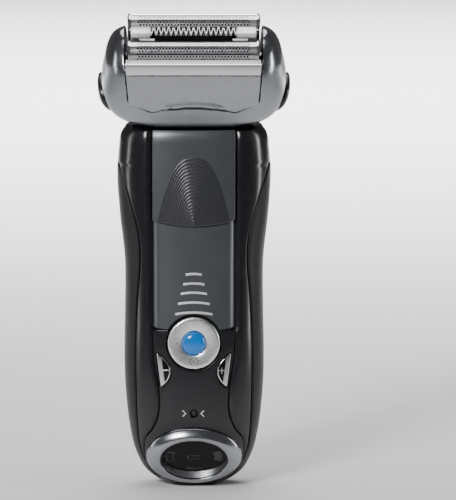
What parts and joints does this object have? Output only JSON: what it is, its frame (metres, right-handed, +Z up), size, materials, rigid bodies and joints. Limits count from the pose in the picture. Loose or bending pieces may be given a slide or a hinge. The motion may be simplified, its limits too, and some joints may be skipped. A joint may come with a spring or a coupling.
{
  "type": "electric foil shaver",
  "caption": "Cordless foil shaver with a forward-leaning pivoting head, lift-off foil cassette, pop-up trimmer, push buttons, oval display and charging socket.",
  "frame": {"origin": "on the flat foot the shaver stands on, under the middle of its plan", "axes": "+Z up along the handle, -Y is the front with the buttons and the display, +X is the shaver's left side as held, on the right as seen from the front"},
  "size_m": [0.0668, 0.0404, 0.1662],
  "materials": {
    "gloss_black": "polished black plastic",
    "grip_rubber": "fine matt soft-touch rubber",
    "satin_grey": "satin dark grey metallic lacquer",
    "matte_black": "fine-textured moulded black",
    "polished_grey": "polished grey chrome plating on plastic",
    "bright_chrome": "bright chrome plating on plastic",
    "satin_silver": "brushed satin silver plating on plastic",
    "display_black": "black display window, mirror smooth",
    "blue_lens": "translucent blue lens",
    "blade_steel": "ground stainless steel",
    "contact_brass": "plated contacts",
    "coil_copper": "enamelled copper winding",
    "circuit_green": "solder-masked circuit board",
    "battery_sleeve": "sleeved cylindrical cell"
  },
  "bodies": {
    "handle": {"front_housing": "gloss_black", "back_housing": "gloss_black", "left_grip": "grip_rubber", "right_grip": "grip_rubber", "housing_screw_1": "blade_steel", "housing_screw_2": "blade_steel", "charge_contact_left": "contact_brass", "charge_contact_right": "contact_brass", "front_panel": "satin_grey", "accent_bar_1": "bright_chrome", "accent_bar_2": "bright_chrome", "accent_bar_3": "bright_chrome", "accent_bar_4": "bright_chrome", "accent_bar_5": "bright_chrome", "control_panel": "gloss_black", "display_ring": "bright_chrome", "display_lens": "display_black", "display_board": "circuit_green", "power_socket": "matte_black", "socket_pin_left": "contact_brass", "socket_pin_right": "contact_brass", "power_switch": "matte_black", "battery": "battery_sleeve", "main_board": "circuit_green", "chassis": "matte_black", "neck_yoke": "matte_black"},
    "lock_slider": {"lock_slider": "satin_grey"},
    "power_button": {"power_button": "satin_silver", "power_lens": "blue_lens"},
    "minus_button": {"minus_button": "satin_silver"},
    "plus_button": {"plus_button": "satin_silver"},
    "reset_button": {"reset_button": "matte_black"},
    "trimmer": {"trimmer_slide": "gloss_black", "trimmer_comb": "blade_steel"},
    "trimmer_blade": {"trimmer_blade": "blade_steel"},
    "head": {"head_shell": "polished_grey", "head_tray": "matte_black", "motor_core": "blade_steel", "motor_coil": "coil_copper", "pivot_pin_left": "blade_steel", "pivot_pin_right": "blade_steel"},
    "release_left": {"release_button_left": "satin_silver"},
    "release_right": {"release_button_right": "satin_silver"},
    "armature": {"motor_armature": "blade_steel", "drive_pin_front": "blade_steel", "drive_pin_back": "blade_steel"},
    "cassette": {"cassette_frame": "matte_black", "cassette_front_panel": "satin_silver", "cassette_back_panel": "satin_silver", "front_cutter_spring": "blade_steel", "back_cutter_spring": "blade_steel"},
    "front_foil": {"front_foil": "blade_steel", "front_foil_holder": "matte_black"},
    "front_cutter": {"front_cutter": "blade_steel"},
    "back_foil": {"back_foil": "blade_steel", "back_foil_holder": "matte_black"},
    "back_cutter": {"back_cutter": "blade_steel"},
    "middle_comb": {"middle_comb": "polished_grey"},
    "middle_blade": {"middle_blade": "blade_steel"}
  },
  "joints": [
    {"name": "head_pivot", "type": "hinge", "parent": "handle", "child": "head", "pos_m": [0, 0.00356, 0.1378], "axis": [1, 0, 0], "range_deg": [-20, 4], "stiffness_Nm_per_rad": 0.3},
    {"name": "cassette_lift", "type": "slide", "parent": "head", "child": "cassette", "axis": [0, -0.5, 0.866], "range_m": [0, 0.025]},
    {"name": "front_foil_float", "type": "slide", "parent": "cassette", "child": "front_foil", "axis": [0, -0.5, 0.866], "range_m": [-0.0015, 0], "stiffness_N_per_m": 300, "springref_m": 0.001, "deforming": ["front_cutter_spring"]},
    {"name": "back_foil_float", "type": "slide", "parent": "cassette", "child": "back_foil", "axis": [0, -0.5, 0.866], "range_m": [-0.0015, 0], "stiffness_N_per_m": 300, "springref_m": 0.001, "deforming": ["back_cutter_spring"]},
    {"name": "middle_comb_float", "type": "slide", "parent": "cassette", "child": "middle_comb", "axis": [0, -0.5, 0.866], "range_m": [-0.0015, 0], "stiffness_N_per_m": 300, "springref_m": 0.001},
    {"name": "motor_stroke", "type": "slide", "parent": "head", "child": "armature", "axis": [1, 0, 0], "range_m": [-0.001, 0.001], "stiffness_N_per_m": 100},
    {"name": "front_cutter_stroke", "type": "slide", "parent": "front_foil", "child": "front_cutter", "axis": [1, 0, 0], "range_m": [-0.001, 0.001]},
    {"name": "back_cutter_stroke", "type": "slide", "parent": "back_foil", "child": "back_cutter", "axis": [1, 0, 0], "range_m": [-0.001, 0.001]},
    {"name": "middle_blade_stroke", "type": "slide", "parent": "middle_comb", "child": "middle_blade", "axis": [1, 0, 0], "range_m": [-0.001, 0.001]},
    {"name": "trimmer_slide", "type": "slide", "parent": "handle", "child": "trimmer", "axis": [0, 0, 1], "range_m": [0, 0.01]},
    {"name": "trimmer_blade_stroke", "type": "slide", "parent": "trimmer", "child": "trimmer_blade", "axis": [1, 0, 0], "range_m": [-0.001, 0.001]},
    {"name": "lock_slide", "type": "slide", "parent": "handle", "child": "lock_slider", "axis": [0, -0.045, -0.999], "range_m": [0, 0.0025]},
    {"name": "power_press", "type": "slide", "parent": "handle", "child": "power_button", "axis": [0, 1, 0], "range_m": [0, 0.0008], "stiffness_N_per_m": 400},
    {"name": "minus_press", "type": "slide", "parent": "handle", "child": "minus_button", "axis": [0, 1, 0], "range_m": [0, 0.0006], "stiffness_N_per_m": 400},
    {"name": "plus_press", "type": "slide", "parent": "handle", "child": "plus_button", "axis": [0, 1, 0], "range_m": [0, 0.0006], "stiffness_N_per_m": 400},
    {"name": "reset_press", "type": "slide", "parent": "handle", "child": "reset_button", "axis": [0, 1, 0], "range_m": [0, 0.0005], "stiffness_N_per_m": 400},
    {"name": "release_left_press", "type": "slide", "parent": "head", "child": "release_left", "axis": [1, 0, 0], "range_m": [0, 0.0012], "stiffness_N_per_m": 400},
    {"name": "release_right_press", "type": "slide", "parent": "head", "child": "release_right", "axis": [-1, 0, 0], "range_m": [0, 0.0012], "stiffness_N_per_m": 400}
  ],
  "couplings": [
    {"joint": "front_cutter_stroke", "follows": "motor_stroke", "ratio": 1},
    {"joint": "back_cutter_stroke", "follows": "motor_stroke", "ratio": 1},
    {"joint": "middle_blade_stroke", "follows": "motor_stroke", "ratio": 1},
    {"joint": "trimmer_blade_stroke", "follows": "motor_stroke", "ratio": 1}
  ]
}
